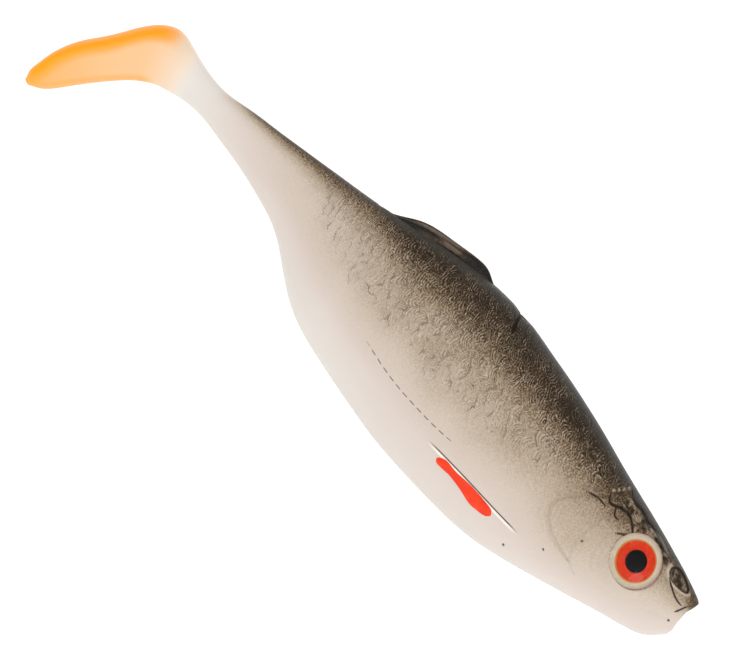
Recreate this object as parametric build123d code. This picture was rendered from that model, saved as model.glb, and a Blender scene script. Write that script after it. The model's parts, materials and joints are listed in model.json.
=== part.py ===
from build123d import *
import math
import os

# A soft-plastic swimbait: a solid plastisol fish with a boot tail, glued-in domed eyes,
# a folding dorsal fin and two coloured pectoral fins.
#
# Frame: the origin is the middle of the flat nose face. +X points forward, out of the nose,
# +Y to the fish's left and +Z up, out of its back. Millimetres.

# ---------------------------------------------------------------- driving dimensions
body_length = 180.0         # flat nose to the toe of the boot tail
body_depth = 41.8           # back to belly, at the deepest place
body_width = 25.0           # flank to flank, at the widest place

eye_diameter = 12.0         # domed lens
iris_diameter = 9.0         # printed foil disc
pupil_diameter = 4.7
lens_dome_height = 1.5
lens_rim_thickness = 0.6
adhesive_thickness = 0.4
foil_thickness = 0.2
pupil_thickness = 0.08
eye_sink = 0.8              # lens rim below the flank, measured in the middle of the eye
eye_toe_out = 12.7          # degrees that an eye looks forward
eye_lift = 17.0             # degrees that an eye looks up

fin_height = 2.8            # dorsal fin above the back
fin_thickness = 1.2         # at the root
fin_tip_thickness = 0.7
fin_bead_radius = 0.9       # round root that the fin folds about
fin_fold = 30.0             # degrees to each side

pectoral_thickness = 0.3    # coloured plastisol standing on the flank

hook_exit_radius = 0.9
hook_exit_depth = 8.0
hook_exit_lean = 20.0       # degrees that the hole leans towards the tail

# Half of each flexure's travel, in degrees, and the radius of its knuckle.
trunk_bend_angle = 12.0
trunk_knuckle_radius = 4.0
rear_bend_angle = 22.0
rear_knuckle_radius = 3.4
stalk_bend_angle = 30.0
stalk_knuckle_radius = 2.6
stalk_lift_angle = 20.0
lift_knuckle_radius = 2.9
tail_kick_angle = 45.0
kick_knuckle_radius = 2.1
twist_spigot_radius = 1.7
twist_spigot_length = 2.2

# Named clearances
knuckle_clearance = 0.25    # knuckle to socket
shoulder_clearance = 0.25   # left between two shoulders at full bend
eye_clearance = 0.1         # eye in its pocket, the glue line
print_clearance = 0.05      # foil and pupil in the back of the lens
bead_clearance = 0.1        # fin's bead in its groove

# ---------------------------------------------------------------- outline
# Pairs of (per cent of body_length behind the nose, per cent of body_depth above the
# origin). The back line leaves out the dorsal fin.
back_line = [
    (0, 13.2), (2.8, 17.0), (8.4, 22.8), (16.8, 30.0), (25.2, 37.6), (33.6, 42.8),
    (42.0, 46.0), (50.4, 39.6), (61.6, 27.6), (72.8, 17.8), (82.6, 9.4),
]
belly_line = [
    (0, -11.8), (1.4, -17.8), (3.4, -22.4), (8.4, -29.4), (15.7, -41.0), (25.2, -51.8),
    (36.4, -54.6), (44.8, -51.8), (51.5, -47.6), (57.1, -42.2), (61.6, -32.4),
    (65.5, -21.8), (70.0, -15.4), (78.4, -9.6), (82.6, -8.2),
]
# (per cent of body_length behind the nose, per cent of half of body_width)
flank_line = [
    (0, 30), (1.4, 42), (3.4, 54), (5.6, 66), (11.2, 86), (22.4, 98), (33.6, 100),
    (44.8, 94), (56.0, 72), (64.4, 48), (72.8, 32), (82.6, 25),
]
widest_level = 0.52         # share of the way from belly to back

# Where the trunk's sections stand, per cent of body_length behind the nose
trunk_stations = [0, 1.4, 3.4, 6.5, 11, 17, 24, 32, 40, 48, 54, 59, 62.5, 66, 70, 75, 79]

# The boot tail's sections turn downwards like a fan. Each one has its rear point, on the
# stalk's top and then the sole, its front point, on the stalk's underside and then the
# instep, its half width, and the share of the way to the rear point where it is widest.
boot_sections = [
    ((82.6, 9.2), (82.6, -8.2), 25, 0.50),
    ((86.0, 9.8), (85.4, -9.8), 27, 0.50),
    ((88.8, 12.2), (87.3, -12.4), 37, 0.55),
    ((91.5, 13.2), (88.9, -15.2), 54, 0.62),
    ((93.8, 6.4), (90.1, -18.8), 72, 0.70),
    ((96.2, -11.2), (91.4, -24.0), 85, 0.74),
    ((98.5, -27.7), (93.5, -35.3), 93, 0.76),
    ((99.6, -41.4), (95.3, -46.4), 90, 0.76),
    ((99.9, -50.6), (96.7, -55.2), 74, 0.74),
    ((100.0, -56.9), (97.8, -60.2), 48, 0.70),
    ((99.8, -61.0), (98.8, -62.9), 20, 0.60),
]

# Flexures, per cent of body_length behind the nose
trunk_bend_at = 42.0
rear_bend_at = 62.5
stalk_bend_at = 71.0
stalk_lift_at = 76.0
stalk_twist_at = 79.9
tail_kick_at = 84.7

# Details on the trunk, per cent of body_length and of body_depth
eye_at = (9.1, 6.0)
hook_exit_at = 39.3
fin_front_at = 45.6
fin_rear_at = 60.3
pectoral_top_edge = [(34.1, -34.1), (29.3, -31.7), (24.9, -30.5)]
pectoral_front = (24.3, -32.1)
pectoral_low_edge = [(24.7, -34.5), (26.5, -36.9), (29.9, -37.1), (34.1, -34.1)]

far = 2 * body_length       # reaches past the whole fish


# ---------------------------------------------------------------- helpers
def place(share):
    """X of a place given as per cent of the length behind the nose."""
    return -share / 100 * body_length


def height(share):
    """Z of a height given as per cent of the depth."""
    return share / 100 * body_depth


def read_line(line, share):
    """A smooth line through the points of an outline, read at one place."""
    slopes = []
    for before, after in zip(line, line[1:]):
        slopes.append((after[1] - before[1]) / (after[0] - before[0]))
    tangents = [slopes[0]]
    for before, after in zip(slopes, slopes[1:]):
        same_way = before * after > 0
        tangents.append(2 * before * after / (before + after) if same_way else 0.0)
    tangents.append(slopes[-1])
    for index in range(len(line) - 1):
        if share <= line[index + 1][0] or index == len(line) - 2:
            (x0, y0), (x1, y1) = line[index], line[index + 1]
            step = x1 - x0
            t = (share - x0) / step
            return (
                (2 * t**3 - 3 * t**2 + 1) * y0
                + (t**3 - 2 * t**2 + t) * step * tangents[index]
                + (3 * t**2 - 2 * t**3) * y1
                + (t**3 - t**2) * step * tangents[index + 1]
            )


def half_width(share):
    """Half of the fish's width at its widest level."""
    return read_line(flank_line, share) / 100 * body_width / 2


def middle_height(share):
    """Z of the widest level."""
    low = height(read_line(belly_line, share))
    high = height(read_line(back_line, share))
    return low + widest_level * (high - low)


def flank_y(share, z):
    """How far the flank stands out from the middle plane at a place and a height."""
    low = height(read_line(belly_line, share))
    high = height(read_line(back_line, share))
    middle = middle_height(share)
    reach = high - middle if z > middle else middle - low
    return half_width(share) * math.sqrt(max(0.0, 1 - ((z - middle) / reach) ** 2))


def egg_section(rear, front, half, widest, grow=0.0):
    """A closed section of two half ellipses between two points of the middle plane."""
    top = Vector(place(rear[0]), 0, height(rear[1]))
    bottom = Vector(place(front[0]), 0, height(front[1]))
    up = (top - bottom).normalized()
    reach = (top - bottom).length
    centre = bottom + up * reach * widest
    plane = Plane(centre, x_dir=(0, 1, 0), z_dir=(up.Z, 0, -up.X))
    upper = Edge.make_ellipse(half + grow, reach * (1 - widest) + grow, plane, 0, 180)
    lower = Edge.make_ellipse(half + grow, reach * widest + grow, plane, 180, 360)
    return Wire([upper, lower])


def fish(grow=0.0):
    """The whole moulding in one piece, or a copy with its skin moved outwards."""
    sections = []
    for share in trunk_stations:
        rear = (share, read_line(back_line, share))
        front = (share, read_line(belly_line, share))
        sections.append(egg_section(rear, front, half_width(share), widest_level, grow))
    for rear, front, half, widest in boot_sections:
        sections.append(egg_section(rear, front, half / 100 * body_width / 2, widest, grow))
    return Solid.make_loft(sections)


def slab(x_from, x_to):
    """A block that holds everything between two places along the fish."""
    return Pos((x_from + x_to) / 2, 0, 0) * Box(x_to - x_from, far, far)


# ---------------------------------------------------------------- flexures
def knuckle_cut(share, radius, angle, sideways=True):
    """The two sides of a flexure that bends: what keeps its front and what keeps its rear.

    The front side ends in a round knuckle on the bending axis and the rear side has the
    socket. Both shoulders stand back far enough to clear each other at full bend.
    """
    x = place(share)
    if sideways:
        axle = Pos(x, 0, 0)
        shoulder_reach = half_width(share)
    else:
        z = middle_height(share)
        axle = Pos(x, 0, z) * Rot(90, 0, 0)
        shoulder_reach = height(read_line(back_line, share)) - z
    setback = shoulder_reach * math.tan(math.radians(angle / 2)) + shoulder_clearance
    knuckle = axle * Cylinder(radius, far)
    socket = axle * Cylinder(radius + knuckle_clearance, far)
    keep_front = slab(x + setback, far) + knuckle
    keep_rear = slab(-far, x - setback) - socket
    return keep_front, keep_rear


def twist_cut(share):
    """The two sides of the flexure that twists: a round spigot in a round bore."""
    x = place(share)
    z = middle_height(share)
    spigot = Pos(x, 0, z) * Rot(0, -90, 0) * Cylinder(
        twist_spigot_radius, 2 * twist_spigot_length
    )
    bore = Pos(x, 0, z) * Rot(0, -90, 0) * Cylinder(
        twist_spigot_radius + knuckle_clearance,
        2 * (twist_spigot_length + knuckle_clearance + shoulder_clearance),
    )
    keep_front = slab(x, far) + spigot
    keep_rear = slab(-far, x - shoulder_clearance) - bore
    return keep_front, keep_rear


# ---------------------------------------------------------------- eyes
def eye_plane(side):
    """Plane of one eye's rim, looking out of the head. side is 1 for left, -1 for right."""
    share, level = eye_at
    z = height(level)
    out = Vector(
        math.sin(math.radians(eye_toe_out)),
        side * math.cos(math.radians(eye_toe_out)) * math.cos(math.radians(eye_lift)),
        math.sin(math.radians(eye_lift)),
    ).normalized()
    skin = Vector(place(share), side * flank_y(share, z), z)
    return Plane(skin - out * eye_sink, z_dir=out)


def disc(plane, radius, low, high):
    """A round disc on a plane, between two heights above it."""
    bottom = plane.offset(low)
    return extrude(bottom * Circle(radius), high - low)


eye_floor = -(lens_rim_thickness + foil_thickness + adhesive_thickness)


def eye_pocket(side):
    """What is scooped out of the head for one eye."""
    radius = eye_diameter / 2 + eye_clearance
    return disc(eye_plane(side), radius, eye_floor, eye_diameter)


def eye_pieces(side):
    """Adhesive pad, printed foil, pupil print and domed lens of one eye."""
    plane = eye_plane(side)
    pad_top = eye_floor + adhesive_thickness
    foil_top = pad_top + foil_thickness
    pupil_top = foil_top + pupil_thickness
    radius = eye_diameter / 2
    pad = disc(plane, radius, eye_floor, pad_top)
    foil = disc(plane, iris_diameter / 2, pad_top, foil_top)
    pupil = disc(plane, pupil_diameter / 2, foil_top, pupil_top)
    ball_radius = (radius**2 + lens_dome_height**2) / (2 * lens_dome_height)
    ball = plane.offset(lens_dome_height - ball_radius) * Sphere(ball_radius)
    lens = disc(plane, radius, pad_top, 0) + disc(plane, radius, 0, lens_dome_height) & (
        ball + disc(plane, radius, pad_top, 0)
    )
    lens -= disc(plane, iris_diameter / 2 + print_clearance, pad_top, foil_top)
    lens -= disc(plane, pupil_diameter / 2 + print_clearance, foil_top, pupil_top)
    return {"adhesive": pad, "foil": foil, "pupil": pupil, "lens": lens}


# ---------------------------------------------------------------- fins
def fin_axis():
    """Front and rear end of the line that the dorsal fin folds about."""
    ends = []
    for share in (fin_front_at, fin_rear_at):
        z = height(read_line(back_line, share)) - fin_bead_radius - bead_clearance
        ends.append(Vector(place(share), 0, z))
    return ends


def fin_plane():
    """Plane across the fin's axis, at its rear end, looking forward. Its Y points up."""
    front, rear = fin_axis()
    return Plane(rear, x_dir=(0, 1, 0), z_dir=(front - rear))


def dorsal_fin():
    """A low fin, highest in the middle, on a round root bead."""
    front, rear = fin_axis()
    length = (front - rear).length
    sides = Plane(rear, x_dir=(front - rear), z_dir=(0, -1, 0))
    root = fin_bead_radius + bead_clearance
    crest = root + fin_height
    outline = Polyline((0.05 * length, 0), (length, 0), (length, 0.8 * root))
    back_edge = Spline(
        (length, 0.8 * root), (0.86 * length, 0.8 * crest), (0.5 * length, 0.95 * crest),
        (0.3 * length, 0.8 * crest), (0.05 * length, 0.8 * root),
    )
    closing = Line((0.05 * length, 0.8 * root), (0.05 * length, 0))
    blade = sides * make_face(outline + back_edge + closing)
    blade = extrude(blade, fin_thickness / 2, both=True)
    taper = fin_plane() * Polygon(
        (-fin_thickness / 2, 0), (fin_thickness / 2, 0),
        (fin_tip_thickness / 2, crest), (-fin_tip_thickness / 2, crest), align=None,
    )
    bead = extrude(fin_plane() * Circle(fin_bead_radius), length)
    return (blade & extrude(taper, length)) + bead


def fin_groove():
    """The slot in the back that holds the bead and lets the fin fold to both sides."""
    front, rear = fin_axis()
    length = (front - rear).length + 2 * bead_clearance
    bore_radius = fin_bead_radius + bead_clearance
    lean = math.radians(fin_fold)
    half_root = (fin_thickness / 2 + bead_clearance) / math.cos(lean)
    mouth = 4 * fin_height
    flare = half_root + mouth * math.tan(lean)
    start = fin_plane().offset(-bead_clearance)
    bore = extrude(start * Circle(bore_radius), length)
    slot = start * Polygon(
        (-half_root, 0), (half_root, 0), (flare, mouth), (-flare, mouth), align=None,
    )
    return bore + extrude(slot, length)


def pectoral_fin(side, skin, raised_skin):
    """One coloured fin, a thin pad whose back lies on the flank."""
    top = [(place(share), height(level)) for share, level in pectoral_top_edge]
    low = [(place(share), height(level)) for share, level in pectoral_low_edge]
    front = (place(pectoral_front[0]), height(pectoral_front[1]))
    outline = Spline(*top) + ThreePointArc(top[-1], front, low[0]) + Spline(*low)
    prism = extrude(Plane.XZ * make_face(outline), -side * body_width)
    return (prism & raised_skin) - skin


# ---------------------------------------------------------------- holes
def hook_exit():
    """Blind hole in the back where the hook's point comes out."""
    z = height(read_line(back_line, hook_exit_at))
    axis = Pos(place(hook_exit_at), 0, z) * Rot(0, -hook_exit_lean, 0)
    return axis * Pos(0, 0, hook_exit_depth / 2 - hook_exit_depth) * Cylinder(
        hook_exit_radius, hook_exit_depth
    ) + axis * Pos(0, 0, hook_exit_depth / 2) * Cylinder(hook_exit_radius, hook_exit_depth)


# ---------------------------------------------------------------- assembly
def build():
    """Every piece of the swimbait, by name."""
    moulding = fish()
    cuts = [
        knuckle_cut(trunk_bend_at, trunk_knuckle_radius, trunk_bend_angle),
        knuckle_cut(rear_bend_at, rear_knuckle_radius, rear_bend_angle),
        knuckle_cut(stalk_bend_at, stalk_knuckle_radius, stalk_bend_angle),
        knuckle_cut(stalk_lift_at, lift_knuckle_radius, stalk_lift_angle, sideways=False),
        twist_cut(stalk_twist_at),
        knuckle_cut(tail_kick_at, kick_knuckle_radius, tail_kick_angle),
    ]
    names = [
        "front_body", "mid_body", "rear_body",
        "tail_stalk_front", "tail_stalk_middle", "tail_stalk_rear", "paddle",
    ]
    pieces = {}
    for index, name in enumerate(names):
        segment = Part() + moulding
        if index > 0:
            segment = segment & cuts[index - 1][1]
        if index < len(cuts):
            segment = segment & cuts[index][0]
        pieces[name] = segment

    raised = fish(pectoral_thickness)
    for side, word in ((-1, "right"), (1, "left")):
        pieces["front_body"] -= eye_pocket(side)
        for name, piece in eye_pieces(side).items():
            pieces[f"eye_{name}_{word}"] = piece
        pieces[f"pectoral_fin_{word}"] = pectoral_fin(side, moulding, raised)
    pieces["front_body"] -= hook_exit()
    pieces["mid_body"] -= fin_groove()
    pieces["dorsal_fin"] = dorsal_fin()
    return pieces


os.makedirs("parts", exist_ok=True)
for name, piece in build().items():
    export_step(piece, f"parts/{name}.step")
    print(name, round(piece.volume, 2))
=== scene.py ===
# %% [markdown]
# # A soft swimbait
# The bait is one moulding of soft plastisol with a boot tail, a folding fin, two red fins and two
# domed eyes. Its skin is sculpted as a grid of rings, because a fish is a tube whose outline is
# known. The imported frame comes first, and every piece is placed from it.

# %% Load the frame
import functools
import itertools
import json
import math

import bpy
import numpy as np
from mathutils import Matrix, Vector


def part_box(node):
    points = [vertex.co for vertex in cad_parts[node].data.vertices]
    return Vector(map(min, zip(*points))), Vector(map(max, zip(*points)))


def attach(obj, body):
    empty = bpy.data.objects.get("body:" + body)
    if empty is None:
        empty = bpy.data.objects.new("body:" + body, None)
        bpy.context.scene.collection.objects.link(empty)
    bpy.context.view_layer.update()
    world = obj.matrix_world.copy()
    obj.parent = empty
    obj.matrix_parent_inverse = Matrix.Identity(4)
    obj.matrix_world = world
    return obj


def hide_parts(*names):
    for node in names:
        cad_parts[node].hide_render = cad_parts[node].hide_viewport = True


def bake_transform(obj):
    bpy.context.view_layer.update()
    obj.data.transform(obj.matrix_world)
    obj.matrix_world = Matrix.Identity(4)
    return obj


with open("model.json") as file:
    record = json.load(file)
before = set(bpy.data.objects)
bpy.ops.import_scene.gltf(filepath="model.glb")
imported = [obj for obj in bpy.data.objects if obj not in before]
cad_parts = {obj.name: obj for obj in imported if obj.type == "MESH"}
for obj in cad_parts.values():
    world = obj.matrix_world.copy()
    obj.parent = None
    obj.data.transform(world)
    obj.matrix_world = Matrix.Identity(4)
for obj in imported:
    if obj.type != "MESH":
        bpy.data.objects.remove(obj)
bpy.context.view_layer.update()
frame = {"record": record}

# %% [markdown]
# ## Units and small helpers
# The shape is worked out in millimetres, as a mould maker would, and turned to metres when a mesh
# is made. Colours are sRGB hex values, and one function turns them to the linear values that
# Blender's nodes expect.

# %% Units, colour and soft steps
mm = 0.001


def colour(code):
    """A linear RGBA colour from an sRGB hex value."""
    channels = [int(code[index:index + 2], 16) / 255 for index in (1, 3, 5)]
    linear = [c / 12.92 if c < 0.04045 else ((c + 0.055) / 1.055) ** 2.4 for c in channels]
    return (*linear, 1.0)


def soft_step(value, low, high):
    """0 below low, 1 above high, and a smooth rise between them."""
    share = np.clip((value - low) / (high - low), 0, 1)
    return share * share * (3 - 2 * share)


def bell(value, width):
    """1 at zero, falling smoothly to nothing beyond a few widths."""
    return np.exp(-(value / width) ** 2)


# %% [markdown]
# One function adds a shader node. Its settings are plain attributes, its inputs are numbers or
# another node's output, and it hands back the output that the next node needs. A new material
# comes with that function tied to its own tree, and with `rest`, the place on the unbent bait.

# %% Add one shader node
def node(tree, kind, inputs=(), stops=(), out=0, **settings):
    """Adds a node with its settings, inputs and ramp stops, and gives one of its outputs."""
    made = tree.nodes.new(kind)
    for name, value in settings.items():
        setattr(made, name, value)
    for name, value in inputs.items() if isinstance(inputs, dict) else enumerate(inputs):
        if isinstance(value, bpy.types.NodeSocket):
            tree.links.new(value, made.inputs[name])
        else:
            made.inputs[name].default_value = value
    if stops:
        ramp = made.color_ramp
        while len(ramp.elements) < len(stops):
            ramp.elements.new(0.5)
        for element, (position, code) in zip(ramp.elements, stops):
            element.position = position
            element.color = colour(code)
    return made.outputs[out] if made.outputs else None


def new_material(name):
    """An empty material, the function that adds its nodes, and the place on the unbent bait."""
    made = bpy.data.materials.new(name)
    made.use_nodes = True
    made.node_tree.nodes.clear()
    add = functools.partial(node, made.node_tree)
    print("material", name)
    return made, add, add("ShaderNodeAttribute", out="Vector", attribute_name="rest")


def shine(add, inputs):
    """Ends a material with a Principled shader that has these inputs."""
    add("ShaderNodeOutputMaterial", {"Surface": add("ShaderNodeBsdfPrincipled", inputs)})


# %% [markdown]
# Meshes are made from numpy arrays. `rest` keeps each vertex's place on the unbent bait in
# millimetres, so a pattern stays on the skin when a joint bends it.

# %% Make a mesh piece
def make_piece(name, points, faces, finish, normals=None, marks=None):
    """A smooth mesh object from points in millimetres, with named values on its vertices."""
    mesh = bpy.data.meshes.new(name)
    mesh.from_pydata((points * mm).tolist(), [], faces)
    mesh.polygons.foreach_set("use_smooth", np.ones(len(mesh.polygons), bool))
    rest = mesh.attributes.new("rest", "FLOAT_VECTOR", "POINT")
    rest.data.foreach_set("vector", points.astype(np.float32).ravel())
    for mark, values in (marks or {}).items():
        layer = mesh.attributes.new(mark, "FLOAT", "POINT")
        layer.data.foreach_set("value", values.astype(np.float32).ravel())
    if normals is not None:
        mesh.normals_split_custom_set_from_vertices(normals.tolist())
    mesh.materials.append(finish)
    piece = bpy.data.objects.new(name, mesh)
    bpy.context.scene.collection.objects.link(piece)
    return piece


def tube_faces(rings, columns):
    """Quads between closed rings of vertices that follow each other."""
    ring, column = np.meshgrid(np.arange(rings - 1), np.arange(columns), indexing="ij")
    after = (column + 1) % columns
    corners = [ring * columns + column, ring * columns + after,
               (ring + 1) * columns + after, (ring + 1) * columns + column]
    return np.stack(corners, axis=-1).reshape(-1, 4).tolist()


def fan_faces(ring_start, columns, centre, outwards):
    """Triangles that close a ring of vertices onto one centre vertex."""
    made = []
    for column in range(columns):
        here, after = ring_start + column, ring_start + (column + 1) % columns
        made.append((centre, here, after) if outwards else (centre, after, here))
    return made


# %% [markdown]
# ## The moulding's outline
# The bait was poured into a two-part mould, so its shape is smooth everywhere. These are the same
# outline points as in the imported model: per cent of the length behind the nose, and per cent of
# the depth above the nose's middle.

# %% Outline of back, belly and flanks
body_length, body_depth, body_width = 180.0, 41.8, 25.0
back_line = [
    (0, 13.2), (2.8, 17.0), (8.4, 22.8), (16.8, 30.0), (25.2, 37.6), (33.6, 42.8),
    (42.0, 46.0), (50.4, 39.6), (61.6, 27.6), (72.8, 17.8), (82.6, 9.4),
]
belly_line = [
    (0, -11.8), (1.4, -17.8), (3.4, -22.4), (8.4, -29.4), (15.7, -41.0), (25.2, -51.8),
    (36.4, -54.6), (44.8, -51.8), (51.5, -47.6), (57.1, -42.2), (61.6, -32.4),
    (65.5, -21.8), (70.0, -15.4), (78.4, -9.6), (82.6, -8.2),
]
flank_line = [
    (0, 30), (1.4, 42), (3.4, 54), (5.6, 66), (11.2, 86), (22.4, 98), (33.6, 100),
    (44.8, 94), (56.0, 72), (64.4, 48), (72.8, 32), (82.6, 25),
]
widest_level = 0.52
trunk_stations = [0, 1.4, 3.4, 6.5, 11, 17, 24, 32, 40, 48, 54, 59, 62.5, 66, 70, 75, 79]

# %% [markdown]
# The boot tail turns down like a fan, so its sections don't stand upright. Each has its rear
# point on the sole, its front point on the instep, its half width and where it is widest.

# %% Sections of the boot tail
boot_sections = [
    ((82.6, 9.2), (82.6, -8.2), 25, 0.50), ((86.0, 9.8), (85.4, -9.8), 27, 0.50),
    ((88.8, 12.2), (87.3, -12.4), 37, 0.55), ((91.5, 13.2), (88.9, -15.2), 54, 0.62),
    ((93.8, 6.4), (90.1, -18.8), 72, 0.70), ((96.2, -11.2), (91.4, -24.0), 85, 0.74),
    ((98.5, -27.7), (93.5, -35.3), 93, 0.76), ((99.6, -41.4), (95.3, -46.4), 90, 0.76),
    ((99.9, -50.6), (96.7, -55.2), 74, 0.74), ((100.0, -56.9), (97.8, -60.2), 48, 0.70),
    ((99.8, -61.0), (98.8, -62.9), 20, 0.60),
]


def read_line(line, share):
    """A smooth line through an outline's points, read at one place."""
    slopes = [(b[1] - a[1]) / (b[0] - a[0]) for a, b in zip(line, line[1:])]
    tangents = [slopes[0]]
    for a, b in zip(slopes, slopes[1:]):
        tangents.append(2 * a * b / (a + b) if a * b > 0 else 0.0)
    tangents.append(slopes[-1])
    index = min(sum(share > point[0] for point in line[1:]), len(line) - 2)
    (x0, y0), (x1, y1) = line[index], line[index + 1]
    t = (share - x0) / (x1 - x0)
    rise = (t**3 - 2 * t**2 + t) * tangents[index] + (t**3 - t**2) * tangents[index + 1]
    return y0 + (3 * t**2 - 2 * t**3) * (y1 - y0) + rise * (x1 - x0)


# %% [markdown]
# A natural cubic spline carries the sections smoothly into each other. It is the curve that a
# thin batten takes when it is bent through points, and the same function smooths the engraved
# lines later.

# %% Spline through points
def batten(knots, values, at):
    """Natural cubic spline through values at knots, read at many places."""
    knots, values = np.asarray(knots, float), np.asarray(values, float)
    gap = np.diff(knots)
    slope = np.diff(values, axis=0) / gap[:, None]
    system = np.eye(len(knots))
    load = np.zeros_like(values)
    for k in range(1, len(knots) - 1):
        system[k, k - 1:k + 2] = gap[k - 1], 2 * (gap[k - 1] + gap[k]), gap[k]
        load[k] = 6 * (slope[k] - slope[k - 1])
    bend = np.linalg.solve(system, load)
    index = np.clip(np.searchsorted(knots, at, side="right") - 1, 0, len(gap) - 1)
    width, left = gap[index][:, None], (np.asarray(at) - knots[index])[:, None]
    right = width - left
    return (
        (bend[index] * right**3 + bend[index + 1] * left**3) / (6 * width)
        + (values[index] / width - bend[index] * width / 6) * right
        + (values[index + 1] / width - bend[index + 1] * width / 6) * left
    )


# %% All sections, in millimetres
section_rows = []
for share in trunk_stations:
    back = read_line(back_line, share) / 100 * body_depth
    belly = read_line(belly_line, share) / 100 * body_depth
    s = share / 100 * body_length
    half = read_line(flank_line, share) / 100 * body_width / 2
    section_rows.append((s, back, s, belly, half, widest_level))
for rear, front, half, widest in boot_sections:
    section_rows.append((
        rear[0] / 100 * body_length, rear[1] / 100 * body_depth,
        front[0] / 100 * body_length, front[1] / 100 * body_depth,
        half / 100 * body_width / 2, widest,
    ))
section_rows = np.array(section_rows)
middles = (section_rows[:, 0:2] + section_rows[:, 2:4]) / 2
travel = np.concatenate([[0], np.cumsum(np.linalg.norm(np.diff(middles, axis=0), axis=1))])
print("sections", len(section_rows), "path along the middle", round(travel[-1], 1), "mm")

# %% [markdown]
# ## Rings of vertices
# A ring goes round the fish every third of a millimetre, fine enough to carry the moulded
# scales as real relief. Each ring starts on the ridge of the back and its points are evenly
# spaced, so the quads are nearly square everywhere.

# %% Lay the rings
ring_gap = 0.34
columns = 320
sole_squareness = 2.5       # 2 is an ellipse, and more squares the sole's edge

ring_count = int(travel[-1] / ring_gap)
ring_travel = np.linspace(0, travel[-1], ring_count)
rear_s, rear_z, front_s, front_z, ring_half, ring_widest = batten(
    travel, section_rows, ring_travel
).T
ring_s = (rear_s + front_s) / 2
up_s, up_z = rear_s - front_s, rear_z - front_z
reach = np.hypot(up_s, up_z)
up_s, up_z = up_s / reach, up_z / reach
boot_share = soft_step(ring_s, 150, 166)

turn = np.linspace(0, 2 * math.pi, 1441)
points = np.zeros((ring_count, columns, 3))
girth = np.zeros((ring_count, columns))
level = np.zeros((ring_count, columns))
for k in range(ring_count):
    power = 2 / (2 + (sole_squareness - 2) * boot_share[k] * (np.cos(turn) > 0))
    tall = np.sign(np.cos(turn)) * np.abs(np.cos(turn)) ** power
    wide = -np.sign(np.sin(turn)) * np.abs(np.sin(turn)) ** power
    share = ring_widest[k] + tall * np.where(tall > 0, 1 - ring_widest[k], ring_widest[k])
    along = np.hypot(np.diff(share * reach[k]), np.diff(wide * ring_half[k]))
    walked = np.concatenate([[0], np.cumsum(along)])
    even = np.linspace(0, walked[-1], columns + 1)[:-1]
    level[k] = np.interp(even, walked, share)
    points[k, :, 0] = -(front_s[k] + up_s[k] * level[k] * reach[k])
    points[k, :, 1] = np.interp(even, walked, wide) * ring_half[k]
    points[k, :, 2] = front_z[k] + up_z[k] * level[k] * reach[k]
    girth[k] = np.minimum(even, walked[-1] - even)
print("rings", ring_count, "vertices", ring_count * columns)


def grid_normals(grid):
    """Outward normals of the ring grid."""
    around = np.roll(grid, -1, axis=1) - np.roll(grid, 1, axis=1)
    along = np.gradient(grid, axis=0)
    out = np.cross(along, around)
    return out / np.maximum(np.linalg.norm(out, axis=2, keepdims=True), 1e-9)


smooth_normals = grid_normals(points)
s_of = -points[:, :, 0]
z_of = points[:, :, 2]
side_of = np.sign(points[:, :, 1])
print("normal on the ridge, 200 rings back", smooth_normals[200, 0].round(2))

# %% [markdown]
# ## Noise that is the same every time
# Sculpted irregularity needs random numbers that never change. Here each corner of a lattice is
# hashed to a number and the values are smoothed between corners.

# %% Lattice noise
def hashed(cells, seed):
    """A number from 0 to 1 for each row of whole numbers."""
    mixed = cells @ np.array([374761393, 668265263, 974634777][:cells.shape[-1]]) + seed * 69069
    mixed = (mixed ^ (mixed >> 13)) * 1274126177
    return ((mixed ^ (mixed >> 16)) & 0xFFFFFF) / 0xFFFFFF


def lattice_noise(places, size, seed):
    """Smooth noise from 0 to 1 whose bumps are about size millimetres apart."""
    scaled = places / size
    cell = np.floor(scaled).astype(np.int64)
    share = scaled - cell
    share = share * share * (3 - 2 * share)
    total = 0.0
    for corner in itertools.product((0, 1), repeat=3):
        weight = np.prod(np.where(np.array(corner) == 1, share, 1 - share), axis=-1)
        total = total + weight * hashed(cell + np.array(corner), seed)
    return total


# %% [markdown]
# ## Moulded scales
# The mould is engraved with scales like roof tiles: each one lies over the front of the next one
# behind it, and has rings of growth. Cells on a staggered lattice are shifted a little by hash,
# and the disc whose centre is furthest forward wins, which is what puts it on top.

# %% Scale tiles
scale_height = 0.055         # step at a scale's free edge
scale_size_places = [26, 40, 60, 100, 140]
scale_cells = [0, 4.5, 12.0, 30.0, 54.0]     # scales counted along the fish at those places
scale_girth = 2.7           # from one row of scales to the next
tile_reach = 0.80           # radius of a disc, in cells
shift = 0.42

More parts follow.
